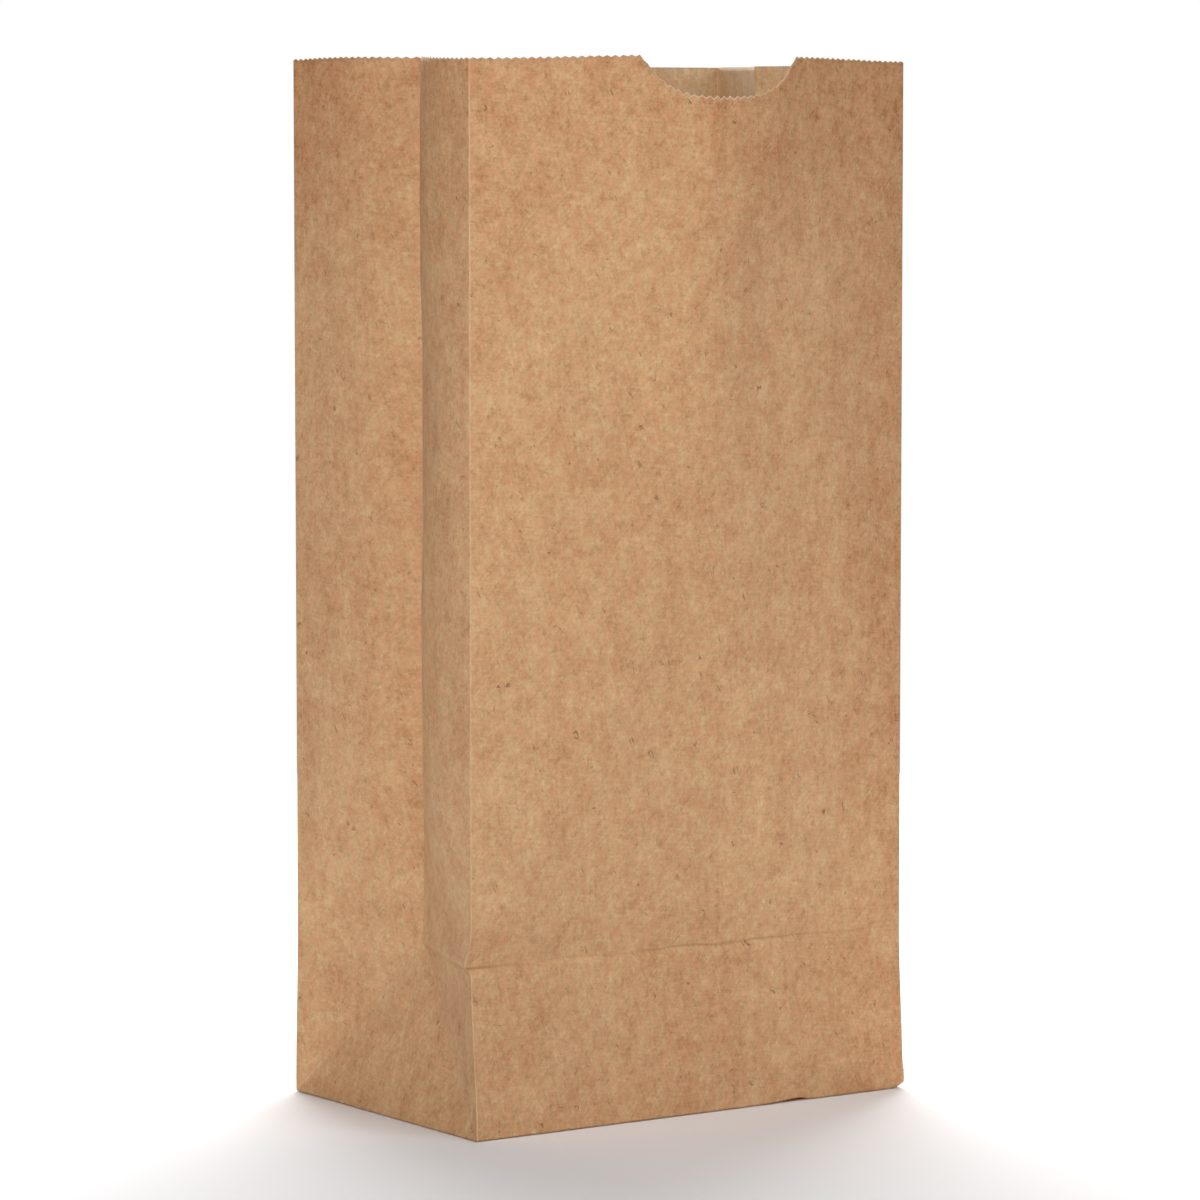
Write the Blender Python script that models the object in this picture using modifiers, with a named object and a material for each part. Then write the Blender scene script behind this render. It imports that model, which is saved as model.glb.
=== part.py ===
"""Brown kraft lunch bag of the self-opening kind, standing open.

The bag is one sheet of paper.  It is closed into a tube with a pleat (gusset) down each
side, its mouth is cut with a toothed blade, and its lower end is folded flat and glued
into a rectangular base.  It is built in metres, +Z up, with the origin in the middle of
the base's underside.  The front panel, with the thumb notch, faces -Y.
"""
import math

import bpy
import bmesh
import numpy as np

# Driving dimensions of the sheet
PANEL_WIDTH = 0.1235          # front and back panels, between the corner folds
GUSSET_DEPTH = 0.0794         # side gussets, between the corner folds
BAG_HEIGHT = 0.24765          # base to the tips of the teeth
PAPER = 0.0001                # thickness of the kraft
PLY_STEP = 0.00012            # one glued ply on the underside

HALF_WIDTH = PANEL_WIDTH / 2
HALF_DEPTH = GUSSET_DEPTH / 2
CREASE_HEIGHT = HALF_DEPTH    # the flat bag's base folds up along this line

# Cut edge of the mouth
TEETH_ACROSS_FRONT = 64
TEETH_PER_HALF_GUSSET = 20
TOOTH_DEPTH = 0.00045
NOTCH_HALF_WIDTH = 0.0218
NOTCH_DEPTH = 0.0093
NOTCH_FULLNESS = 3.4          # exponent of the notch's outline: 2 is a parabola
BACK_EDGE_DROP = 0.0016       # the plain back edge lies this much below the teeth

# How the opened paper stands
CREASE_INSET = 0.0125         # gusset centre fold, in from the corner folds
CREASE_OFFSET = 0.001         # and towards the back
FRONT_BOW = 0.015             # front panel's bulge at the mouth
BACK_BOW = 0.005
BOW_START = CREASE_HEIGHT      # the panels swell from the base crease upwards
RIDGE_START = 0.080           # height where the front's bulge turns into a ridge
RIDGE_RISE = 0.120
RIDGE_SOFTNESS = 0.10
NEAR_FULLNESS = 0.0038        # swelling of the gusset halves beside the front
FAR_FULLNESS = 0.0030         # and beside the back
NEAR_PEAK = 0.44              # where along each half the swelling is greatest
FAR_PEAK = 0.60
# Each mouth corner's shift from above its base corner: (side, face) -> (dx, dy)
CORNER_SHIFT = {
    (-1, -1): (0.0, 0.0023),
    (1, -1): (-0.0003, 0.0013),
    (1, 1): (0.0005, 0.0010),
    (-1, 1): (0.0015, 0.0014),
}

# Base folds
BASE_LIFT = 2 * PLY_STEP      # the end triangles lie this far above the outer flap
FLAP_LAP = 0.010              # how far the two base flaps overlap
FLAP_INSET = 0.0006           # flap plates keep inside the base's outline
FLAP_ROOT = 0.00003           # how deep the plates reach into the paper above them

# Mesh layout
TEETH_PER_CELL = 4
BACK_CELLS = 8
FOLD_ROWS = TEETH_PER_HALF_GUSSET // TEETH_PER_CELL
WALL_HEIGHTS = (0.048, 0.070, 0.100, 0.130, 0.160, 0.190, 0.215)
BAND_HEIGHT = 0.234           # the toothed band starts here


def clear_scene():
    for thing in list(bpy.data.objects):
        bpy.data.objects.remove(thing, do_unlink=True)


def new_collection(name):
    collection = bpy.data.collections.new(name)
    bpy.context.scene.collection.children.link(collection)
    return collection


def ease(x):
    """Smooth step from 0 to 1 as x goes from 0 to 1."""
    x = min(max(x, 0.0), 1.0)
    return x * x * (3 - 2 * x)


def corner(side, face, z):
    """Corner fold at height z: side is -1 left, 1 right; face is -1 front, 1 back."""
    settled = ease(z / CREASE_HEIGHT)
    dx, dy = CORNER_SHIFT[(side, face)]
    return np.array([side * HALF_WIDTH + dx * settled, face * HALF_DEPTH + dy * settled])


def bulge_profile(across, z):
    """Swelling of a panel, 1 at its middle: an arc low down, a soft ridge at the mouth."""
    arc = 1 - across ** 2
    soft = RIDGE_SOFTNESS
    ridge = 1 - (math.hypot(across, soft) - soft) / (math.hypot(1, soft) - soft)
    blend = ease((z - RIDGE_START) / RIDGE_RISE)
    return arc * (1 - blend) + ridge * blend


def panel_point(face, t, z):
    """Point on the front (-1) or back (1) panel; t runs from 0 at the left to 1."""
    left = corner(-1, face, z)
    right = corner(1, face, z)
    point = left + (right - left) * t
    rise = min(max((z - BOW_START) / (BAG_HEIGHT - BOW_START), 0.0), 1.0)
    bow = FRONT_BOW if face < 0 else BACK_BOW
    across = 2 * t - 1
    profile = bulge_profile(across, z) if face < 0 else 1 - across ** 2
    point[1] += face * bow * rise * profile
    return point


def gusset_point(side, face, t, z):
    """Point on one half of a side gusset; t runs from 0 at the corner fold to 1 at the
    centre fold.  Below the crease height the half is two flat facets that meet on the
    diagonal from the centre fold down to the base corner."""
    edge = corner(side, face, z)
    middle = (corner(side, -1, z) + corner(side, 1, z)) / 2
    lean = min(z / CREASE_HEIGHT, 1.0)
    fold = middle + np.array([-side * CREASE_INSET * lean, CREASE_OFFSET * lean])
    if z < CREASE_HEIGHT:
        diagonal = np.array([fold[0], fold[1] + (edge[1] - fold[1]) * (1 - lean)])
        if t <= lean:
            return edge + (diagonal - edge) * (t / lean if lean > 0 else 0.0)
        return diagonal + (fold - diagonal) * ((t - lean) / (1 - lean))
    peak, fullness = (NEAR_PEAK, NEAR_FULLNESS) if face < 0 else (FAR_PEAK, FAR_FULLNESS)
    tent = t / peak if t < peak else (1 - t) / (1 - peak)
    swell = fullness * ease((z - CREASE_HEIGHT) / CREASE_HEIGHT) * tent
    return edge + (fold - edge) * t + np.array([side * swell, 0.0])


def notch_depth(offset):
    """Depth of the thumb notch at a distance from the front panel's middle."""
    reach = abs(offset) / NOTCH_HALF_WIDTH
    return NOTCH_DEPTH * (1 - reach ** NOTCH_FULLNESS) if reach < 1 else 0.0


def tooth_drop(count):
    """Cut depth of the toothed blade after a count of teeth: 0 at tips, full between."""
    return TOOTH_DEPTH * (0.0 if count % 1 == 0.5 else 1.0)


class Strip:
    """One panel of the tube: where its points lie and how its mouth edge is cut."""

    def __init__(self, place, cells, teeth, cut):
        self.place = place            # function of t and z, giving x and y
        self.cells = cells            # coarse columns
        self.teeth = teeth            # teeth along the mouth edge, 0 for a plain edge
        self.cut = cut                # function of t, giving the edge's drop

    def edge_steps(self):
        """Values of t along the mouth edge, in steps of half a tooth."""
        count = 2 * self.teeth if self.teeth else self.cells
        return [i / count for i in range(count)]

    def edge_height(self, t):
        drop = self.cut(t)
        if self.teeth:
            drop += tooth_drop(t * self.teeth)
        return BAG_HEIGHT - drop


def tube_strips():
    """The six strips in order round the tube, from the front's left corner fold."""
    half = TEETH_PER_HALF_GUSSET
    cells = half // TEETH_PER_CELL

    def front_cut(t):
        return notch_depth((t - 0.5) * PANEL_WIDTH)

    def back_cut(t):
        return TOOTH_DEPTH + BACK_EDGE_DROP * ease(4 * min(t, 1 - t))

    def plain_cut(t):
        return 0.0

    front = Strip(lambda t, z: panel_point(-1, t, z),
                  TEETH_ACROSS_FRONT // TEETH_PER_CELL, TEETH_ACROSS_FRONT, front_cut)
    back = Strip(lambda t, z: panel_point(1, 1 - t, z), BACK_CELLS, 0, back_cut)
    strips = [front]
    for side, first in ((1, -1), (-1, 1)):
        for face, inward in ((first, True), (-first, False)):
            def place(t, z, side=side, face=face, inward=inward):
                return gusset_point(side, face, t if inward else 1 - t, z)
            strips.append(Strip(place, cells, half, plain_cut))
        if side == 1:
            strips.append(back)
    return strips


def row_heights():
    """Heights of the coarse rows: the base's folds, then the wall up to the teeth."""
    folds = [CREASE_HEIGHT * i / FOLD_ROWS for i in range(FOLD_ROWS + 1)]
    return folds + list(WALL_HEIGHTS) + [BAND_HEIGHT]


def lift(z):
    """World height of a point z up the sheet: the wall starts on the folded plies."""
    return BASE_LIFT + z * (BAG_HEIGHT - BASE_LIFT) / BAG_HEIGHT


def fold_sheet():
    """Open surface of the bag: coarse rows, a toothed band on top and a flat bottom."""
    bm = bmesh.new()
    strips = tube_strips()
    heights = row_heights()
    columns = [(strip, i / strip.cells) for strip in strips for i in range(strip.cells)]
    rows = []
    for z in heights:
        points = [strip.place(t, z) for strip, t in columns]
        rows.append([bm.verts.new((x, y, lift(z))) for x, y in points])

    edge, edge_start = [], []
    for strip in strips:
        steps = strip.edge_steps()
        for index, t in enumerate(steps):
            if index % (len(steps) // strip.cells) == 0:
                edge_start.append(len(edge))
            height = strip.edge_height(t)
            x, y = strip.place(t, height)
            edge.append(bm.verts.new((x, y, lift(height))))
    edge_start.append(len(edge))

    total = len(columns)
    for j in range(len(heights) - 1):
        for i in range(total):
            low_left, low_right = rows[j][i], rows[j][(i + 1) % total]
            top_right, top_left = rows[j + 1][(i + 1) % total], rows[j + 1][i]
            split = diagonal_cell(columns[i], j, strips)
            if split == "rising":
                bm.faces.new((low_left, low_right, top_right))
                bm.faces.new((low_left, top_right, top_left))
            elif split == "falling":
                bm.faces.new((low_left, low_right, top_left))
                bm.faces.new((low_right, top_right, top_left))
            else:
                bm.faces.new((low_left, low_right, top_right, top_left))
    for i in range(total):
        arc = edge[edge_start[i]:edge_start[i + 1]] + [edge[edge_start[i + 1] % len(edge)]]
        bm.faces.new([rows[-1][i], rows[-1][(i + 1) % total]] + arc[::-1])
    bm.faces.new(rows[0][::-1])
    return bm


def diagonal_cell(column, row, strips):
    """Whether a cell lies on a base diagonal, and which way that fold crosses it."""
    strip, t = column
    if strip.cells != FOLD_ROWS or row >= FOLD_ROWS:
        return None
    inward = strips.index(strip) in (1, 4)
    place = round(t * strip.cells)
    if inward and place == row:
        return "rising"
    if not inward and place == FOLD_ROWS - 1 - row:
        return "falling"
    return None


def kraft_material():
    material = bpy.data.materials.new("brown_kraft")
    material.use_nodes = True
    shader = material.node_tree.nodes["Principled BSDF"]
    shader.inputs["Base Color"].default_value = (0.46, 0.28, 0.15, 1)
    shader.inputs["Roughness"].default_value = 0.85
    shader.inputs["Metallic"].default_value = 0.0
    return material


def flap_plate(name, face, low, collection):
    """Base flap folded in from the front (-1) or back (1) edge.  Its slanting sides run
    at 45 degrees from the base corners, and its free edge passes the middle by half the
    lap.  The plate spans from its ply's underside up into the paper above."""
    root = face * (HALF_DEPTH - FLAP_INSET)
    tip = -face * FLAP_LAP / 2
    outline = []
    for side, y in ((-1, root), (1, root), (1, tip), (-1, tip)):
        reach = HALF_WIDTH - abs(y - face * HALF_DEPTH) - FLAP_INSET
        outline.append((side * reach, y))
    high = BASE_LIFT + FLAP_ROOT
    curve = bpy.data.curves.new(name, "CURVE")
    curve.dimensions = "2D"
    curve.fill_mode = "BOTH"
    curve.extrude = (high - low) / 2
    spline = curve.splines.new("POLY")
    spline.points.add(len(outline) - 1)
    for point, (x, y) in zip(spline.points, outline):
        point.co = (x, y, 0, 1)
    spline.use_cyclic_u = True
    drawn = bpy.data.objects.new(name + "_outline", curve)
    drawn.location.z = (high + low) / 2
    collection.objects.link(drawn)
    bpy.context.view_layer.update()
    evaluated = drawn.evaluated_get(bpy.context.evaluated_depsgraph_get())
    mesh = bpy.data.meshes.new_from_object(evaluated)
    bm = bmesh.new()
    bm.from_mesh(mesh)
    bmesh.ops.remove_doubles(bm, verts=bm.verts, dist=1e-6)
    bm.to_mesh(mesh)
    bm.free()
    plate = bpy.data.objects.new(name, mesh)
    plate.matrix_world = drawn.matrix_world.copy()
    collection.objects.link(plate)
    bpy.data.objects.remove(drawn, do_unlink=True)
    plate.hide_render = True
    plate.display_type = "WIRE"
    return plate


def paper_bag(collection, helpers):
    bm = fold_sheet()
    bmesh.ops.recalc_face_normals(bm, faces=bm.faces)
    mesh = bpy.data.meshes.new("paper_bag")
    bm.to_mesh(mesh)
    bm.free()
    mesh.materials.append(kraft_material())
    bag = bpy.data.objects.new("paper_bag", mesh)
    collection.objects.link(bag)
    wall = bag.modifiers.new("paper_thickness", "SOLIDIFY")
    wall.thickness = PAPER
    wall.offset = -1
    wall.use_even_offset = True
    inner_flap = flap_plate("back_flap", 1, PLY_STEP, helpers)
    outer_flap = flap_plate("front_flap", -1, 0.0, helpers)
    for flap in (inner_flap, outer_flap):
        union = bag.modifiers.new(flap.name, "BOOLEAN")
        union.operation = "UNION"
        union.solver = "EXACT"
        union.object = flap
    return bag


def main():
    clear_scene()
    parts = new_collection("paper_lunch_bag")
    helpers = new_collection("fold_helpers")
    paper_bag(parts, helpers)


main()
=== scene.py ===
"""Looks of an open brown kraft lunch bag: one folded sheet, its glued base flaps, and a studio stage."""

import bpy
import numpy as np
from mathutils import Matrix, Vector


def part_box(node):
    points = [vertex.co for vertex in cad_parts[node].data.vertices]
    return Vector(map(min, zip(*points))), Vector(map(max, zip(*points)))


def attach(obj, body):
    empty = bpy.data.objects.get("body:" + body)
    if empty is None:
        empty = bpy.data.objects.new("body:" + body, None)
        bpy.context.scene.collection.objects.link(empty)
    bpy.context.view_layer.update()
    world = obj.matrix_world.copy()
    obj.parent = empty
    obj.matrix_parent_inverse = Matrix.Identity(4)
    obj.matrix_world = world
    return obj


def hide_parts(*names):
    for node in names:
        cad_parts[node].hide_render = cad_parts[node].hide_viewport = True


bl_info = {
    "name": "Kraft lunch bag",
    "version": (1, 0, 0),
    "blender": (4, 5, 0),
    "location": "3D View > Sidebar > Lunch bag",
    "description": "Folds an open kraft paper bag from a flat toothed blank",
    "category": "Add Mesh",
}

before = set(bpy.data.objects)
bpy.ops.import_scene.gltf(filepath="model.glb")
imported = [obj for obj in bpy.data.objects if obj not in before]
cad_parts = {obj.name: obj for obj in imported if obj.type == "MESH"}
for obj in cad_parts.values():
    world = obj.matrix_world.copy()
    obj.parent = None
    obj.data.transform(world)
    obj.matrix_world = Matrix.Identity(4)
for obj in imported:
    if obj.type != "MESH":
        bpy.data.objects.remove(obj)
CAD_NODE = "paper_bag"
CAD_LOW, CAD_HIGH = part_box(CAD_NODE)

MM = 0.001
UV_SCALE = 10.0               # UV units per metre of paper
FRONT, BACK = -1, 1
LEFT, RIGHT = -1, 1

# Teeth of the cut, counted round the tube
TEETH_FRONT = 64
TEETH_HALF_GUSSET = 20
EDGES_PER_TOOTH = 2
BACK_COLUMNS = 60

# Glued lap of the tube on the back panel, from its right corner fold
SEAM_PLACE = 0.0405
SEAM_LAP = 0.012
PLY_STEP = 0.00012
FLAP_LAP = 0.010

# How far the opened corners have moved at the mouth, by (side, face): mm along X and Y
CORNER_SHIFT = {
    (LEFT, FRONT): (0.0, 2.3),
    (RIGHT, FRONT): (-0.3, 1.3),
    (RIGHT, BACK): (1.8, 0.0),
    (LEFT, BACK): (1.5, 1.4),
}


# ---------------------------------------------------------------- settings

class LunchBagSettings(bpy.types.PropertyGroup):
    """Sizes of the folded sheet."""

    panel_width: bpy.props.FloatProperty(
        name="Panel width", description="Front and back panels, fold to fold",
        default=0.1235, unit="LENGTH")
    gusset_depth: bpy.props.FloatProperty(
        name="Gusset depth", description="Side gussets, fold to fold",
        default=0.0794, unit="LENGTH")
    height: bpy.props.FloatProperty(
        name="Height", description="Base to the tips of the teeth",
        default=CAD_HIGH.z - CAD_LOW.z, unit="LENGTH")
    paper: bpy.props.FloatProperty(
        name="Paper", description="Thickness of the kraft", default=0.0001, unit="LENGTH")
    base_lift: bpy.props.FloatProperty(
        name="Base plies", description="Height of the glued plies under the base",
        default=0.00024, unit="LENGTH")
    left_inset: bpy.props.FloatProperty(
        name="Left inset", description="Left gusset's centre fold, in from its corner folds",
        default=0.0125, unit="LENGTH")
    right_inset: bpy.props.FloatProperty(
        name="Right inset", description="Right gusset's centre fold, in from its corner folds",
        default=0.0155, unit="LENGTH")
    front_bow: bpy.props.FloatProperty(
        name="Front bow", description="Bulge of the front panel at the mouth",
        default=0.015, unit="LENGTH")
    back_bow: bpy.props.FloatProperty(
        name="Back bow", description="Bulge of the back panel at the mouth",
        default=0.005, unit="LENGTH")
    near_swell: bpy.props.FloatProperty(
        name="Near swell", description="Bulge of the half gussets beside the front",
        default=0.0042, unit="LENGTH")
    far_swell: bpy.props.FloatProperty(
        name="Far swell", description="Bulge of the half gussets beside the back",
        default=0.0040, unit="LENGTH")
    tooth_depth: bpy.props.FloatProperty(
        name="Tooth depth", description="Depth of the toothed cut",
        default=0.00045, unit="LENGTH")
    notch_half_width: bpy.props.FloatProperty(
        name="Notch half width", description="Half the thumb notch's width",
        default=0.0218, unit="LENGTH")
    notch_depth: bpy.props.FloatProperty(
        name="Notch depth", description="Depth of the thumb notch",
        default=0.0093, unit="LENGTH")


class KraftSettings(bpy.types.PropertyGroup):
    """Colours of the unbleached paper."""

    dark_pulp: bpy.props.FloatVectorProperty(
        name="Dark pulp", description="Paper where the pulp is densest", size=3, subtype="COLOR",
        default=(0.325, 0.080, 0.004))
    pale_pulp: bpy.props.FloatVectorProperty(
        name="Pale pulp", description="Paper where the pulp is thinnest", size=3, subtype="COLOR",
        default=(0.808, 0.585, 0.322))
    # Inner colours: a paler, yellower copy of the pulp colours, painted light that brightens the shaded inside of
    # the bag.
    inner_dark: bpy.props.FloatVectorProperty(
        name="Dark inner pulp", description="Rough inner side where the pulp is densest", size=3,
        subtype="COLOR", default=(0.330, 0.130, 0.040))
    inner_pale: bpy.props.FloatVectorProperty(
        name="Pale inner pulp", description="Rough inner side where the pulp is thinnest", size=3,
        subtype="COLOR", default=(0.800, 0.680, 0.430))
    warm_pulp: bpy.props.FloatVectorProperty(
        name="Warm pulp", description="Paper where lignin has reddened it", size=3, subtype="COLOR",
        default=(0.680, 0.325, 0.160))
    # Dark colour: bark and knot fibres, and also the painted shade along the base crease.
    dark_colour: bpy.props.FloatVectorProperty(
        name="Dark fibre", description="Bark and knot fibres", size=3, subtype="COLOR",
        default=(0.200, 0.095, 0.040))
    # Pale colour: broken fibres, and also the painted highlight on folds, fold ridges and the cut.
    pale_colour: bpy.props.FloatVectorProperty(
        name="Worn fibre", description="Broken fibres on folds and cuts", size=3,
        subtype="COLOR", default=(0.720, 0.520, 0.340))
    roughness: bpy.props.FloatProperty(
        name="Roughness", description="Roughness of the calendered face", default=0.72,
        subtype="FACTOR")


class StudioSettings(bpy.types.PropertyGroup):
    """Camera and lights."""

    azimuth: bpy.props.FloatProperty(
        name="Azimuth", description="Camera direction round the bag",
        default=np.radians(-34.66), subtype="ANGLE")
    elevation: bpy.props.FloatProperty(
        name="Elevation", description="Camera height angle",
        default=np.radians(4.95), subtype="ANGLE")
    distance: bpy.props.FloatProperty(
        name="Distance", description="Camera to the bag's axis", default=1.25,
        unit="LENGTH")
    aim_height: bpy.props.FloatProperty(
        name="Aim height", description="Height of the picture's middle",
        default=0.11892, unit="LENGTH")
    lens: bpy.props.FloatProperty(
        name="Lens", description="Focal length in millimetres on a 36 mm sensor",
        default=156.2)


# ---------------------------------------------------------------- folding

def ease(x):
    """Smooth step: 3x^2 - 2x^3 with x held between 0 and 1."""
    x = np.clip(x, 0.0, 1.0)
    return x * x * (3 - 2 * x)


def bell(x, centre, spread):
    """Gaussian bump exp(-((x - centre) / spread)^2)."""
    return np.exp(-((x - centre) / spread) ** 2)


def waves(u, v, seed, count, long_u, long_v):
    """Smooth random relief: a sum of sines over the sheet whose wavelengths lie between
    one and three times long_u across and long_v up, scaled to a spread of about 1."""
    rng = np.random.default_rng(seed)
    total = np.zeros_like(u)
    for _ in range(count):
        turn_u = rng.choice((-1, 1)) * 2 * np.pi / (long_u * rng.uniform(1, 3))
        turn_v = 2 * np.pi / (long_v * rng.uniform(1, 3))
        total += np.sin(turn_u * u + turn_v * v + rng.uniform(0, 2 * np.pi))
    return total * np.sqrt(2 / count)


class Folder:
    """Carries points of the flat sheet to where the opened bag holds them."""

    def __init__(self, bag):
        self.bag = bag
        self.half_width = bag.panel_width / 2
        self.half_depth = bag.gusset_depth / 2
        self.crease = bag.gusset_depth / 2

    def corner(self, side, face, z):
        """Corner fold: the base corner plus its shift, eased in up to the crease height."""
        settled = ease(z / self.crease)
        dx, dy = CORNER_SHIFT[(side, face)]
        x = side * self.half_width + dx * MM * settled
        y = face * self.half_depth + dy * MM * settled
        if (side, face) == (LEFT, FRONT):
            over = z - self.crease
            knuckle = np.where(over > 0, bell(over, 0, 4.5 * MM), bell(over, 0, 0.9 * MM))
            x = x - 0.9 * MM * knuckle
            y = y + 1.2 * MM * knuckle
        if (side, face) == (RIGHT, FRONT):
            x = x + 0.5 * MM * bell(z, 2.0 * MM, 2.6 * MM)
        return x, y

    def bulge(self, across, z):
        """Panel swelling: 1 - across^2 low down, turning into a tent with a soft ridge,
        1 - (hypot(across, s) - s) / (hypot(1, s) - s), towards the mouth."""
        soft = 0.10
        tent = 1 - (np.hypot(across, soft) - soft) / (np.hypot(1, soft) - soft)
        blend = ease((z - 0.080) / 0.120)
        return (1 - across ** 2) * (1 - blend) + tent * blend

    def panel(self, face, t, z):
        """Front or back panel: straight between its corner folds, pushed outwards by the
        bow times how far z is above the base crease."""
        x0, y0 = self.corner(LEFT, face, z)
        x1, y1 = self.corner(RIGHT, face, z)
        rise = np.clip((z - self.crease) / (self.bag.height - self.crease), 0, 1)
        across = 2 * t - 1
        if face == FRONT:
            push = self.bag.front_bow * rise * self.bulge(across, z)
        else:
            push = self.bag.back_bow * rise * (1 - across ** 2)
        return x0 + (x1 - x0) * t, y0 + (y1 - y0) * t + face * push

    def gusset(self, side, face, t, z):
        """Half gusset, t from 0 at the corner fold to 1 at the centre fold.  Below the
        crease: two facets that meet on the diagonal t = z / crease.  Above it: straight
        between the folds plus a swelling, 4 t (1 - t) beside the front and the fuller
        t (1 - t^3), scaled to a peak of 1, beside the back."""
        x0, y0 = self.corner(side, face, z)
        xf, yf = self.corner(side, FRONT, z)
        xb, yb = self.corner(side, BACK, z)
        lean = np.clip(z / self.crease, 0, 1)
        inset = self.bag.left_inset if side == LEFT else self.bag.right_inset
        fold_x = (xf + xb) / 2 - side * inset * lean
        fold_y = (yf + yb) / 2 + 1.0 * MM * lean
        diagonal_y = fold_y + (y0 - fold_y) * (1 - lean)
        first = np.clip(t / np.maximum(lean, 1e-9), 0, 1)
        second = np.clip((t - lean) / np.maximum(1 - lean, 1e-9), 0, 1)
        x = x0 + (fold_x - x0) * first
        y = y0 + (diagonal_y - y0) * first + (fold_y - diagonal_y) * second
        if face == FRONT:
            swell = self.bag.near_swell * 4 * t * (1 - t)
        else:
            swell = self.bag.far_swell * t * (1 - t ** 3) / (0.75 * 0.25 ** (1 / 3))
        swell = swell * (1.0 if side == LEFT else 0.25)
        return x + side * swell * ease((z - self.crease) / self.crease), y


def column_marks(length, count, fine, own=()):
    """Distances along a strip: even steps of a cut pitch, with extra ones by the folds and
    at places of its own."""
    even = np.linspace(0, length, count + 1)[:-1]
    extra = [*fine, *(length - d for d in fine), *own]
    return np.unique(np.round(np.concatenate([even, extra]), 7))


def strips(bag):
    """The six strips in order round the tube, from the front's left corner fold: name,
    length, half-tooth steps, and whether t runs backwards."""
    half = bag.gusset_depth / 2
    gusset = TEETH_HALF_GUSSET * EDGES_PER_TOOTH
    return [
        ("front", FRONT, 0, bag.panel_width, TEETH_FRONT * EDGES_PER_TOOTH),
        ("gusset", FRONT, RIGHT, half, gusset),
        ("gusset", BACK, RIGHT, half, gusset),
        ("back", BACK, 0, bag.panel_width, BACK_COLUMNS),
        ("gusset", BACK, LEFT, half, gusset),
        ("gusset", FRONT, LEFT, half, gusset),
    ]


def sheet_columns(bag):
    """Columns round the tube: one array each of strip index, t along it and arc s."""
    fine = (0.35 * MM, 0.75 * MM)
    index, along, arc = [], [], []
    start = 0.0
    for number, (kind, _, _, length, count) in enumerate(strips(bag)):
        own = [SEAM_PLACE + d * MM for d in (-0.4, -0.15, 0.15, 0.4)] if kind == "back" else ()
        marks = column_marks(length, count, fine, own)
        index.append(np.full(len(marks), number))
        along.append(marks / length)
        arc.append(marks + start)
        start += length
    return np.concatenate(index), np.concatenate(along), np.concatenate(arc), start


def tooth_wave(distance, pitch):
    """Toothed blade: a triangle wave, 0 at the tips and 1 in the roots."""
    phase = (distance / pitch) % 1.0
    return np.abs(2 * phase - 1)


def notch_drop(bag, offset):
    """Thumb notch: depth times 1 - |offset / half width|^3.4."""
    reach = np.minimum(np.abs(offset) / bag.notch_half_width, 1)
    return bag.notch_depth * (1 - reach ** 3.4)


def cut_rise(kind, face, side, distance, length):
    """How far, in mm, the cut runs above its nominal height: smooth steps along a strip."""
    if kind == "front":
        return -0.25 + 0.85 * ease(distance / (45 * MM)) - 0.6 * ease((distance - 85 * MM) / (38 * MM))
    if kind == "back" or side == RIGHT:
        return 0 * distance
    if face == FRONT:
        return 0.6 - 0.85 * ease(distance / length)
    return 0.5 + 0.28 * ease(2 * distance / length) - 0.18 * ease(2 * distance / length - 1)


def cut_height(bag, index, along):
    """Height of the mouth's cut edge for each column: toothed round the front and the left
    gusset, plain and a little lower along the back and the right gusset."""
    pitch = bag.panel_width / TEETH_FRONT
    rng = np.random.default_rng(11)
    height = np.full(len(index), bag.height)
    for number, (kind, face, side, length, _) in enumerate(strips(bag)):
        here = index == number
        distance = along[here] * length
        step = pitch if kind == "front" else length / TEETH_HALF_GUSSET
        rough = rng.uniform(0.75, 1.1, here.sum())
        drop = bag.tooth_depth * tooth_wave(distance, step) * rough
        if kind == "front":
            offset = distance - length / 2
            notch = notch_drop(bag, offset)
            inside = ease((bag.notch_half_width - 3 * MM - np.abs(offset)) / (3 * MM))
            torn = 1 + inside * (0.7 - 0.5 * ease((offset + 2 * MM) / (8 * MM)))
            drop = drop * torn + notch
        elif kind == "back":
            drop = 0.55 * MM + 0 * distance
        elif side == RIGHT and face == BACK:
            drop = (0.85 - 0.35 * ease(distance / length)) * MM
        elif side == RIGHT:
            plain = ease(distance / (8 * MM))
            drop = drop * (1 - plain) + 0.85 * MM * plain
        height[here] += cut_rise(kind, face, side, distance, length) * MM - drop
    return height


def base_lift(bag, s):
    """How far the lower edge stands off the base plane, over the distance s round the tube:
    a slow rise and a quick fall in the front's right half, and a turned-up right corner."""
    width = bag.panel_width
    x = s - width / 2
    rise = 0.62 * MM * np.clip((x - 19 * MM) / (11 * MM), 0, 1) ** 1.4 * (1 - ease((x - 30.5 * MM) / (3.0 * MM)))
    gap = np.abs(s - (width + 0.2 * MM))
    return rise + 1.25 * MM * np.clip(1 - gap / (2.6 * MM), 0, 1)


def row_marks(bag):
    """Heights of the sheet's rows below the toothed band, closer at the folds."""
    crease = bag.gusset_depth / 2
    spans = [
        (0.0, 1.2 * MM, 3),
        (1.2 * MM, crease - 9 * MM, 12),
        (crease - 9 * MM, crease - 2 * MM, 8),
        (crease - 2 * MM, crease + 2 * MM, 10),
        (crease + 2 * MM, crease + 9 * MM, 8),
        (crease + 9 * MM, bag.height - 17 * MM, 44),
    ]
    rows = [np.linspace(low, high, count, endpoint=False) for low, high, count in spans]
    return np.concatenate(rows)


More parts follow.
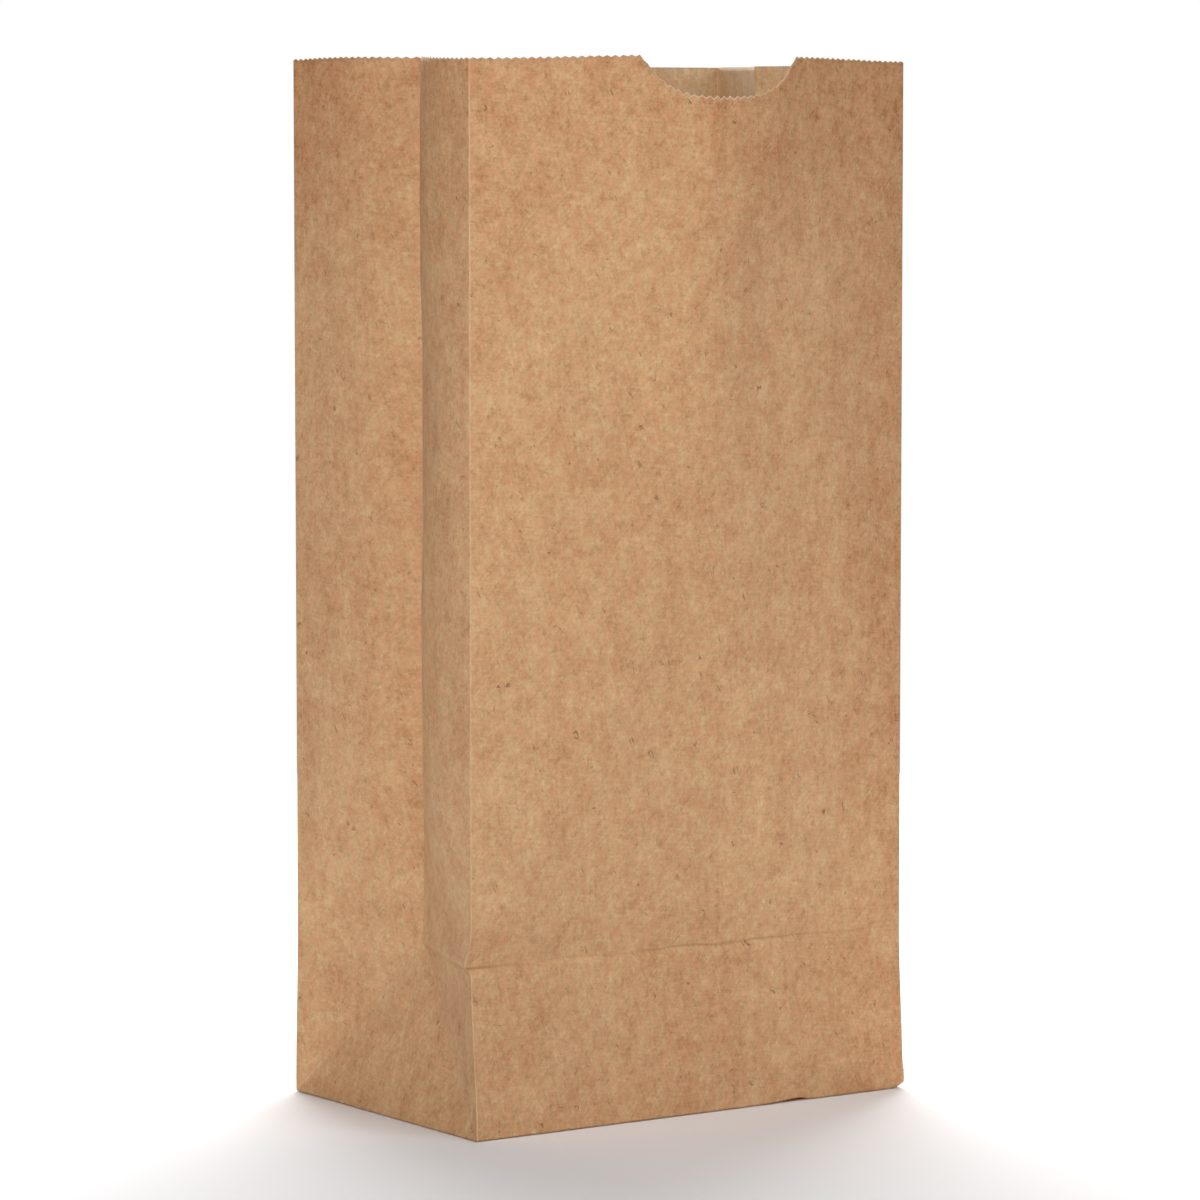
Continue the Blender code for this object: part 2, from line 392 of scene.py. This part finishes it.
def fold_walls(bag):
    """Every wall point of the opened bag: arrays x, y, z and sheet s, v, cut distance.

    A point (s, v) of the sheet goes to its strip's shape at height v.  Rows are level up
    to 17 mm under the teeth; above, they are spread evenly up to the cut edge."""
    folder = Folder(bag)
    index, along, arc, around = sheet_columns(bag)
    cut = cut_height(bag, index, along)
    low = row_marks(bag)
    band = np.linspace(0, 1, 15)
    start = bag.height - 17 * MM
    z_low = np.repeat(low[None, :], len(index), 0)
    z_band = start + (cut[:, None] - start) * band[None, :]
    z = np.concatenate([z_low, z_band], 1)
    t = np.repeat(along[:, None], z.shape[1], 1)
    s = np.repeat(arc[:, None], z.shape[1], 1)
    x, y = np.zeros_like(z), np.zeros_like(z)
    for number, (kind, face, side, length, _) in enumerate(strips(bag)):
        here = index == number
        tt, zz = t[here], z[here]
        if kind == "gusset":
            inward = (side == RIGHT) == (face == FRONT)
            x[here], y[here] = folder.gusset(side, face, tt if inward else 1 - tt, zz)
        else:
            x[here], y[here] = folder.panel(face, tt if face == FRONT else 1 - tt, zz)
    return x, y, z, s, cut[:, None] - z, index, t, around


def relief(bag, s, z, index, t):
    """Height of the paper's small relief along its outward normal, in metres."""
    crease = bag.gusset_depth / 2
    width = bag.panel_width
    calm = ease(np.minimum(t, 1 - t) * 8)
    free = ease((z - 2 * MM) / (12 * MM))
    out = 0.16 * MM * waves(s, z, 3, 14, 0.026, 0.060) * calm * free
    out += 0.05 * MM * waves(s, z, 5, 14, 0.008, 0.022) * calm * free
    x = s - width / 2
    top = ease((z - (bag.height - 40 * MM)) / (25 * MM))
    line = crease + 0.25 * MM * np.sin(x / 0.011 + 1)
    deep = 0.10 + 0.55 * bell(s, 0, 8 * MM)
    deep = deep + 0.22 * ease((s - 45 * MM) / (10 * MM)) * ease((98 * MM - s) / (6 * MM))
    front = -0.45 * MM * deep * bell(z, line, 0.7 * MM)
    front -= 0.35 * MM * top * bell(x, 0.4 * MM, 1.3 * MM)
    front += 0.30 * MM * top * bell(x, -3.6 * MM, 2.2 * MM)
    front -= 0.25 * MM * top * bell(x, 24 * MM, 4 * MM)
    out += np.where(index == 0, front, 0)
    lap = s - (width + bag.gusset_depth + SEAM_PLACE)
    ply = ease(lap / (0.3 * MM) + 0.5) * ease((SEAM_LAP - lap) / (1.2 * MM))
    out += np.where(index == 3, PLY_STEP * ply, 0)
    near = 2 * width + 2 * bag.gusset_depth - s
    pinch = bell(z, crease + 5.0 * MM - 0.7 * near, 1.3 * MM) * bell(near, 2.6 * MM, 2.2 * MM)
    soft = bell(near, 5.5 * MM, 1.6 * MM) * ease((crease - z) / (12 * MM)) * ease(z / (10 * MM))
    out += np.where(index == 5, -0.55 * MM * pinch + 0.22 * MM * soft, 0)
    return out


def outward(x, y):
    """Unit horizontal normals of closed sections, from central differences."""
    dx = np.roll(x, -1, 0) - np.roll(x, 1, 0)
    dy = np.roll(y, -1, 0) - np.roll(y, 1, 0)
    size = np.maximum(np.hypot(dx, dy), 1e-9)
    return dy / size, -dx / size


def quad_faces(columns, rows):
    """Faces of a grid that is closed round its columns."""
    i, j = np.meshgrid(np.arange(columns), np.arange(rows - 1), indexing="ij")
    k = (i + 1) % columns
    return np.stack([i * rows + j, k * rows + j, k * rows + j + 1, i * rows + j + 1], -1).reshape(-1, 4)


def mesh_object(name, points, faces, ngons=()):
    """Mesh object from arrays of points and quads, plus a few larger faces."""
    mesh = bpy.data.meshes.new(name)
    mesh.from_pydata(points.tolist(), [], faces.tolist() + [list(n) for n in ngons])
    mesh.shade_smooth()
    obj = bpy.data.objects.new(name, mesh)
    bpy.context.scene.collection.objects.link(obj)
    return obj


def set_uv(obj, uv_points, around=None):
    """UV map from per-vertex sheet places; where the tube closes, U runs on past its end."""
    mesh = obj.data
    corner = np.zeros(len(mesh.loops), np.int32)
    mesh.loops.foreach_get("vertex_index", corner)
    uv = uv_points[corner]
    if around is not None:
        start = np.zeros(len(mesh.polygons), np.int32)
        total = np.zeros(len(mesh.polygons), np.int32)
        mesh.polygons.foreach_get("loop_start", start)
        mesh.polygons.foreach_get("loop_total", total)
        face = np.repeat(np.arange(len(start)), total)
        high = np.maximum.reduceat(uv[:, 0], start)
        wrap = (high[face] - uv[:, 0] > around / 2) & (total[face] == 4)
        uv[wrap, 0] += around
    layer = mesh.uv_layers.new(name="Sheet")
    layer.data.foreach_set("uv", (uv * UV_SCALE).astype(np.float32).ravel())


def set_attribute(obj, name, values):
    layer = obj.data.attributes.new(name, "FLOAT", "POINT")
    layer.data.foreach_set("value", values.astype(np.float32))


def base_flap(bag, name, face):
    """Base flap: a trapezoid whose sides run in at 45 degrees from the base corners.

    The back flap lies flat on the base.  The front one dips by a ply where it laps it."""
    inset = 0.6 * MM
    reach = bag.gusset_depth / 2 + FLAP_LAP / 2 - inset
    across, down = np.meshgrid(np.linspace(-1, 1, 61), np.linspace(0, 1, 41), indexing="ij")
    depth = down * reach
    half = bag.panel_width / 2 - 2 * inset - depth * 0.985
    x = across * half
    y = face * (bag.gusset_depth / 2 - inset - depth)
    z = bag.base_lift - bag.paper * 0.7 + 0.01 * MM * waves(x, y, 7, 10, 0.012, 0.012)
    if face == FRONT:
        z = z - PLY_STEP * ease((depth - reach + FLAP_LAP + 2 * MM) / (2 * MM))
    points = np.stack([x, y, z], -1).reshape(-1, 3)
    rows = down.shape[1]
    i, j = np.meshgrid(np.arange(down.shape[0] - 1), np.arange(rows - 1), indexing="ij")
    faces = np.stack([i, i, i + 1, i + 1], -1) * rows + np.stack([j, j + 1, j + 1, j], -1)
    flap = mesh_object(name, points, faces.reshape(-1, 4)[:, ::face])
    set_uv(flap, points[:, :2] + (0.7 + 0.2 * face))
    return flap


# ---------------------------------------------------------------- kraft

class Sock:
    """A shader socket that does arithmetic: an expression on Socks adds its Math nodes."""

    def __init__(self, tree, out):
        self.tree = tree
        self.out = out

    def node(self, kind, settings=None, inputs=None, output=0):
        """Adds a node of a type, sets its settings, then fills or links its inputs."""
        node = self.tree.nodes.new(kind)
        for key, value in (settings or {}).items():
            if key == "stops":
                ramp = node.color_ramp
                while len(ramp.elements) < len(value):
                    ramp.elements.new(0.5)
                for element, (position, colour) in zip(ramp.elements, value):
                    element.position = position
                    element.color = (*colour, 1)
            else:
                setattr(node, key, value)
        for key, value in (inputs or {}).items():
            if isinstance(value, Sock):
                self.tree.links.new(value.out, node.inputs[key])
            else:
                node.inputs[key].default_value = value
        return Sock(self.tree, node.outputs[output])

    def _math(self, operation, *values):
        return self.node("ShaderNodeMath", {"operation": operation}, dict(enumerate(values)))

    def __add__(self, other):
        return self._math("ADD", self, other)

    __radd__ = __add__

    def __sub__(self, other):
        return self._math("SUBTRACT", self, other)

    def __rsub__(self, other):
        return self._math("SUBTRACT", other, self)

    def __mul__(self, other):
        return self._math("MULTIPLY", self, other)

    __rmul__ = __mul__

    def __truediv__(self, other):
        return self._math("DIVIDE", self, other)

    def __abs__(self):
        return self._math("ABSOLUTE", self)

    def clip(self):
        return self.node("ShaderNodeClamp", {}, {"Value": self})

    def step(self, low, high):
        """Smooth step of this value from 0 at low to 1 at high."""
        return self.node("ShaderNodeMapRange", {"interpolation_type": "SMOOTHSTEP"},
                         {"Value": self, "From Min": low, "From Max": high})

    def near(self, centre, reach):
        """1 where this value is at centre, falling to 0 at reach away."""
        return 1 - abs(self - centre).step(0.0, reach)


def sheet_sockets(tree):
    """The paper's own coordinates: U round the tube and V up it, in metres."""
    uv = Sock(tree, tree.nodes.new("ShaderNodeUVMap").outputs[0])
    uv.out.node.uv_map = "Sheet"
    metres = uv.node("ShaderNodeVectorMath", {"operation": "SCALE"}, {0: uv, "Scale": 1 / UV_SCALE})
    split = tree.nodes.new("ShaderNodeSeparateXYZ")
    tree.links.new(metres.out, split.inputs[0])
    return metres, Sock(tree, split.outputs[0]), Sock(tree, split.outputs[1])


def noise(at, across, up, detail=3.0, rough=0.55, twist=0.0, offset=0.0, turn=0.0):
    """Noise over the sheet with features of about across by up metres, turned by an angle."""
    place = at.node("ShaderNodeMapping", {"vector_type": "TEXTURE"}, {
        "Vector": at, "Scale": (across, up, 1), "Rotation": (0, 0, turn),
        "Location": (offset, offset / 2, 0)})
    return at.node("ShaderNodeTexNoise", {"noise_dimensions": "2D"}, {
        "Vector": place, "Scale": 1.0, "Detail": detail, "Roughness": rough, "Distortion": twist})


def mix(factor, first, second):
    """Blend of two colours."""
    node = factor.tree.nodes.new("ShaderNodeMix")
    node.data_type = "RGBA"
    factor.tree.links.new(factor.out, node.inputs["Factor"])
    for key, value in ((6, first), (7, second)):
        if isinstance(value, Sock):
            factor.tree.links.new(value.out, node.inputs[key])
        else:
            node.inputs[key].default_value = (*value, 1)
    return Sock(factor.tree, node.outputs[2])


def kraft_base(name, look, bag, folds=False, dark=None, pale=None):
    """Kraft material: a mat of fibres, cloudy pulp, hairs and specks; with folds, also the painted
    shading, the worn lines (worn fibres plus painted highlight), the painted crease shade and the torn cut."""
    material = bpy.data.materials.new(name)
    material.use_nodes = True
    tree = material.node_tree
    shader = tree.nodes["Principled BSDF"]
    at, u, v = sheet_sockets(tree)

    mat = noise(at, 0.0006, 0.0030, 3.0, 0.65, 0.4, 0.07, 0.30)
    mat = mat + noise(at, 0.0006, 0.0030, 3.0, 0.65, 0.4, 0.13, -0.75)
    mat = mat + noise(at, 0.0006, 0.0030, 3.0, 0.65, 0.4, 0.19, 1.45) - 1.5
    pulp = noise(at, 0.0022, 0.0028, 4.0, 0.66, 0.3, 0.31)
    cloud = noise(at, 0.0070, 0.0090, 3.0, 0.55, 0.0, 0.37)
    broad = noise(at, 0.030, 0.045, 2.0, 0.5, 0.0, 0.41)
    streak = noise(at, 0.0008, 0.0160, 2.0, 0.5, 0.2, 0.47)
    tone = mat * 0.42 + (pulp - 0.5) * 0.42 + (cloud - 0.5) * 0.42
    tone = tone + (broad - 0.5) * 0.16 + (streak - 0.5) * 0.10
    hair = noise(at, 0.0018, 0.0040, 2.0, 0.5, 0.8, 0.53, 0.20)
    hair = hair.near(0.5, 0.016) * noise(at, 0.0024, 0.0024, 1.0, 0.5, 0.0, 0.59).step(0.54, 0.62)
    tone = tone - hair * 0.17
    # Painted shade and light: soft tone changes over the outer face that stand in for how the light falls.
    if folds:
        tone = tone + painted_shading(bag, u, v)
    colour = mix((tone + 0.52).clip(), dark or look.dark_pulp, pale or look.pale_pulp)
    warm = noise(at, 0.0020, 0.0030, 4.0, 0.70, 0.3, 0.61)
    colour = mix(warm.step(0.36, 0.68) * 0.45, colour, look.warm_pulp)

    speck = noise(at, 0.0018, 0.0050, 1.0, 0.4, 0.8, 0.67, 0.50).near(0.5, 0.022)
    speck = speck * noise(at, 0.0030, 0.0030, 0.0, 0.5, 0.0, 0.71).step(0.735, 0.765)
    colour = mix(speck * 0.75, colour, look.dark_colour)
    # With folds: pale fold and cut lines of worn fibres plus painted highlight, and painted shade in the base
    # crease.
    if folds:
        colour = worn_and_painted_lines(colour, look, bag, at, u, v)
    tree.links.new(colour.out, shader.inputs["Base Color"])

    shader.inputs["Roughness"].default_value = look.roughness
    shader.inputs["Specular IOR Level"].default_value = 0.35
    height = pulp * 0.5 + streak * 0.25 + cloud * 0.6
    bump = tree.nodes.new("ShaderNodeBump")
    bump.inputs["Strength"].default_value = 0.35
    bump.inputs["Distance"].default_value = 0.00012
    tree.links.new(height.out, bump.inputs["Height"])
    tree.links.new(bump.outputs[0], shader.inputs["Normal"])
    return material


def painted_shading(bag, u, v):
    """Painted shade and light in the tone: lighter just above the base crease, darker towards the
    mouth, towards the front's right fold and by the back left corner fold near the mouth."""
    far_fold = 2 * bag.panel_width + bag.gusset_depth
    tone = v.step(0.030, 0.042) * (1 - v.step(0.050, 0.130)) * 0.045 - v.step(0.190, 0.245) * 0.10
    on_front = 1 - u.step(bag.panel_width, bag.panel_width + 0.003)
    tone = tone - u.step(0.090, 0.123) * on_front * 0.09
    return tone - u.near(far_fold, 0.022) * v.step(0.180, 0.245) * 0.10


def worn_and_painted_lines(colour, look, bag, at, u, v):
    """Adds pale lines on the folds (broken fibres plus painted highlight), painted shade along the base
    crease, pale diagonals at the base (fold ridges: wear plus painted highlight) and the notch's pale fringe."""
    width, half = bag.panel_width, bag.gusset_depth / 2
    around = 2 * width + 4 * half
    broken = noise(at, 0.0008, 0.0040, 3.0, 0.6, offset=0.73)
    patchy = 0.35 + broken.step(0.35, 0.62) * 0.65
    # Pale corner fold lines: broken fibres plus a painted highlight along each fold.
    corner = u.near(0.0, 0.00042) + u.near(around, 0.00042)
    for mark in (width, width + 2 * half, 2 * width + 2 * half):
        corner = corner + u.near(mark, 0.00042)
    colour = mix((corner * patchy * 0.55).clip(), colour, look.pale_colour)

    # Pale lines on the base diagonals and fold ridges: worn fibres plus painted highlight where the ridges catch
    # the light.
    left = around - half
    near_diagonal = (v - (around - u)).near(0.0, 0.0004) * v.step(0.012, 0.022) * v.near(half - 0.006, 0.014)
    far_corner = around - 2 * half
    far_diagonal = (v - (u - far_corner)).near(0.0, 0.0006) * (1 - v.step(0.006, 0.011))
    ray = (u - left).near(0.0, 0.0004) * (1 - v.step(half * 0.82, half * 0.95))
    shelf = v.near(half + 0.0004, 0.0004) * u.step(left + 0.001, left + 0.004)
    lines = near_diagonal * 0.5 + far_diagonal * 0.6 + ray * 0.38 + shelf * 0.25
    colour = mix((lines * patchy).clip(), colour, look.pale_colour)

    # Painted shade: a dark line along the base crease on the front, strongest where the crease is deepest.
    waver = noise(at, 0.010, 0.010, 1.0, 0.5, offset=0.79)
    line = (v + (waver - 0.5) * 0.0012).near(half, 0.0005)
    on_front = 1 - u.step(width * 0.93, width)
    strength = 0.25 + (1 - u.step(0.004, 0.014)) * 0.75 + u.step(0.045, 0.052) * (1 - u.step(0.094, 0.100)) * 0.35
    colour = mix((line * on_front * strength * 0.55).clip(), colour, look.dark_colour)

    # Pale fringe below the cut: torn fibres plus a painted highlight on the notch's edge, strongest on its left
    # side.
    below = Sock(at.tree, at.tree.nodes.new("ShaderNodeAttribute").outputs["Fac"])
    below.out.node.attribute_name = "below_cut"
    torn = u.step(width / 2 - bag.notch_half_width, width / 2 - bag.notch_half_width + 0.004)
    torn = torn * (1 - u.step(width / 2 + 0.003, width / 2 + 0.012) * 0.6)
    torn = torn * (1 - u.step(width / 2 + bag.notch_half_width - 0.004, width / 2 + bag.notch_half_width))
    fringe = (1 - below.step(0.00018, 0.00045)) * (0.25 + torn * 0.65)
    return mix(fringe.clip(), colour, look.pale_colour)


# ---------------------------------------------------------------- pieces

class BAG_OT_fold_sheet(bpy.types.Operator):
    """Fold the toothed kraft sheet into the open bag"""

    bl_idname = "lunch_bag.fold_sheet"
    bl_label = "Fold sheet"

    def execute(self, context):
        bag, look = context.scene.lunch_bag, context.scene.kraft_look
        x, y, z, s, below, index, t, around = fold_walls(bag)
        nx, ny = outward(x, y)
        up = z
        lift = relief(bag, s, z, index[:, None], t)
        x, y = x + nx * lift, y + ny * lift
        z = bag.base_lift + z * (bag.height - bag.base_lift) / bag.height
        edge = base_lift(bag, s[:, :1])
        z = z + edge * (1 - ease((z - bag.base_lift) / (7 * MM)))
        columns, rows = z.shape

        rings = np.array([10.0, 3.0, 0.8, 0.35]) * MM
        shrink_x = 1 - rings / (bag.panel_width / 2)
        shrink_y = 1 - rings / (bag.gusset_depth / 2)
        bx, by = x[:, :1] * shrink_x, y[:, :1] * shrink_y
        bz = bag.base_lift + edge * (1 - ease(rings[None, :] / (6 * MM)))
        px = np.concatenate([bx, x], 1)
        py = np.concatenate([by, y], 1)
        pz = np.concatenate([bz, z], 1)
        rows += len(rings)
        points = np.stack([px, py, pz], -1).reshape(-1, 3)
        faces = quad_faces(columns, rows)
        bottom = (np.arange(columns) * rows)[::-1]
        sheet = mesh_object("folded_sheet", points, faces, [bottom])

        sv = np.concatenate([np.repeat(s[:, :1], len(rings), 1), s], 1)
        vv = np.concatenate([-np.repeat(rings[None, :], columns, 0), up], 1)
        set_uv(sheet, np.stack([sv, vv], -1).reshape(-1, 2), around)
        under = np.concatenate([np.full((columns, len(rings)), bag.height), below], 1)
        set_attribute(sheet, "below_cut", under.ravel())

        sheet.data.materials.append(kraft_base("kraft_face", look, bag, folds=True))
        # The inside gets a paler copy of the kraft: painted light for the shaded interior.
        sheet.data.materials.append(kraft_base("kraft_inside", look, bag, dark=look.inner_dark,
                                               pale=look.inner_pale))
        wall = sheet.modifiers.new("paper_thickness", "SOLIDIFY")
        wall.thickness = bag.paper
        wall.offset = -1
        wall.material_offset = 1
        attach(sheet, "root")
        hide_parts(CAD_NODE)
        return {"FINISHED"}


class BAG_OT_glue_flaps(bpy.types.Operator):
    """Glue the two flaps of the base, one lapping the other"""

    bl_idname = "lunch_bag.glue_flaps"
    bl_label = "Glue flaps"

    def execute(self, context):
        bag, look = context.scene.lunch_bag, context.scene.kraft_look
        material = kraft_base("kraft_flap", look, bag)
        for name, face in (("back_flap", BACK), ("front_flap", FRONT)):
            flap = base_flap(bag, name, face)
            flap.data.materials.append(material)
            ply = flap.modifiers.new("paper_thickness", "SOLIDIFY")
            ply.thickness = bag.paper
            ply.offset = 0
            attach(flap, "root")
        return {"FINISHED"}


class BAG_OT_set_stage(bpy.types.Operator):
    """Put down the floor, the lights and the camera"""

    bl_idname = "lunch_bag.set_stage"
    bl_label = "Set stage"

    def execute(self, context):
        studio = context.scene.lunch_studio
        floor = studio_floor()
        studio_air(context.scene)
        set_camera(context.scene, studio)
        for name, azimuth, elevation, distance, size, power in SOFT_BOXES:
            soft_box(name, studio, np.radians(azimuth), np.radians(elevation), distance, size, power)
        context.scene.view_settings.view_transform = "Standard"
        return {"FINISHED"}


# Soft boxes: name, degrees to the camera's right, degrees up, distance, size, watts
SOFT_BOXES = (
    ("left_box", -20.3, 28.3, 0.909, 0.5, 4.9),
    ("right_box", 49.7, 28.3, 0.909, 0.5, 2.5),
    ("back_box", 180.0, 34.5, 0.849, 0.8, 15.0),
)
FLOOR_GLOW = 0.02             # the floor is a faintly lit table, so it reads as white
AIR_GLOW = 0.0               # light from all round, beside the white backdrop that shows


def studio_air(scene):
    """White backdrop to the camera, and AIR_GLOW of even light to everything else."""
    world = bpy.data.worlds.new("studio_air")
    scene.world = world
    world.use_nodes = True
    tree = world.node_tree
    seen = tree.nodes.new("ShaderNodeLightPath")
    level = tree.nodes.new("ShaderNodeMapRange")
    level.inputs["To Min"].default_value = AIR_GLOW
    level.inputs["To Max"].default_value = 1.0
    tree.links.new(seen.outputs["Is Camera Ray"], level.inputs["Value"])
    tree.links.new(level.outputs[0], tree.nodes["Background"].inputs["Strength"])
    tree.nodes["Background"].inputs["Color"].default_value = (1, 1, 1, 1)


def direction(azimuth, elevation):
    """Unit vector towards a viewpoint: azimuth 0 is -Y, turning towards +X."""
    return Vector((np.sin(azimuth) * np.cos(elevation),
                   -np.cos(azimuth) * np.cos(elevation), np.sin(elevation)))


def aim(obj, target):
    """Points an object's -Z axis at a target, with its Y axis upright."""
    turn = (target - obj.location).to_track_quat("-Z", "Y")
    obj.rotation_euler = turn.to_euler()


def set_camera(scene, studio):
    target = Vector((0, 0, studio.aim_height))
    camera = bpy.data.objects.new("camera", bpy.data.cameras.new("camera"))
    camera.location = target + direction(studio.azimuth, studio.elevation) * studio.distance
    aim(camera, target)
    camera.data.lens = studio.lens
    camera.data.sensor_width = 36.0
    camera.data.clip_start = 0.05
    scene.collection.objects.link(camera)
    scene.camera = camera


def soft_box(name, studio, azimuth, elevation, distance, size, power):
    target = Vector((0, 0, studio.aim_height))
    lamp = bpy.data.lights.new(name, "AREA")
    lamp.shape = "SQUARE"
    lamp.size = size
    lamp.energy = power
    box = bpy.data.objects.new(name, lamp)
    box.location = target + direction(studio.azimuth + azimuth, elevation) * distance
    aim(box, target)
    bpy.context.scene.collection.objects.link(box)


def studio_floor():
    """Pale floor: a flat round table 1.3 m across, in rings that widen outwards."""
    radius = np.geomspace(0.05, 0.65, 12)
    turn = np.linspace(0, 2 * np.pi, 65)[:-1]
    r, a = np.meshgrid(radius, turn, indexing="xy")
    points = np.stack([r * np.cos(a), r * np.sin(a), 0 * r], -1).reshape(-1, 3)
    faces = quad_faces(len(turn), len(radius))[:, ::-1]
    middle = np.arange(len(turn)) * len(radius)
    floor = mesh_object("studio_floor", points, faces, [middle])
    material = bpy.data.materials.new("studio_paper")
    material.use_nodes = True
    shader = material.node_tree.nodes["Principled BSDF"]
    shader.inputs["Base Color"].default_value = (0.90, 0.90, 0.91, 1)
    shader.inputs["Roughness"].default_value = 0.9
    shader.inputs["Emission Color"].default_value = (1.0, 1.0, 1.0, 1)
    shader.inputs["Emission Strength"].default_value = FLOOR_GLOW
    floor.data.materials.append(material)
    return floor


class BAG_PT_workshop(bpy.types.Panel):
    """Lists the bag's steps and sizes"""

    bl_idname = "BAG_PT_workshop"
    bl_label = "Lunch bag"
    bl_space_type = "VIEW_3D"
    bl_region_type = "UI"
    bl_category = "Lunch bag"

    def draw(self, context):
        for operator in OPERATORS:
            self.layout.operator(operator.bl_idname)
        for settings in (context.scene.lunch_bag, context.scene.kraft_look, context.scene.lunch_studio):
            box = self.layout.box()
            for name in settings.__annotations__:
                box.prop(settings, name)


OPERATORS = (BAG_OT_fold_sheet, BAG_OT_glue_flaps, BAG_OT_set_stage)
SETTINGS = (
    ("lunch_bag", LunchBagSettings),
    ("kraft_look", KraftSettings),
    ("lunch_studio", StudioSettings),
)


def register():
    for name, group in SETTINGS:
        bpy.utils.register_class(group)
        setattr(bpy.types.Scene, name, bpy.props.PointerProperty(type=group))
    for item in (*OPERATORS, BAG_PT_workshop):
        bpy.utils.register_class(item)


def unregister():
    for item in (BAG_PT_workshop, *reversed(OPERATORS)):
        bpy.utils.unregister_class(item)
    for name, group in reversed(SETTINGS):
        delattr(bpy.types.Scene, name)
        bpy.utils.unregister_class(group)


def main():
    register()
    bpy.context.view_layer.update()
    bpy.ops.lunch_bag.fold_sheet()
    bpy.ops.lunch_bag.glue_flaps()
    bpy.ops.lunch_bag.set_stage()


if __name__ == "__main__":
    main()
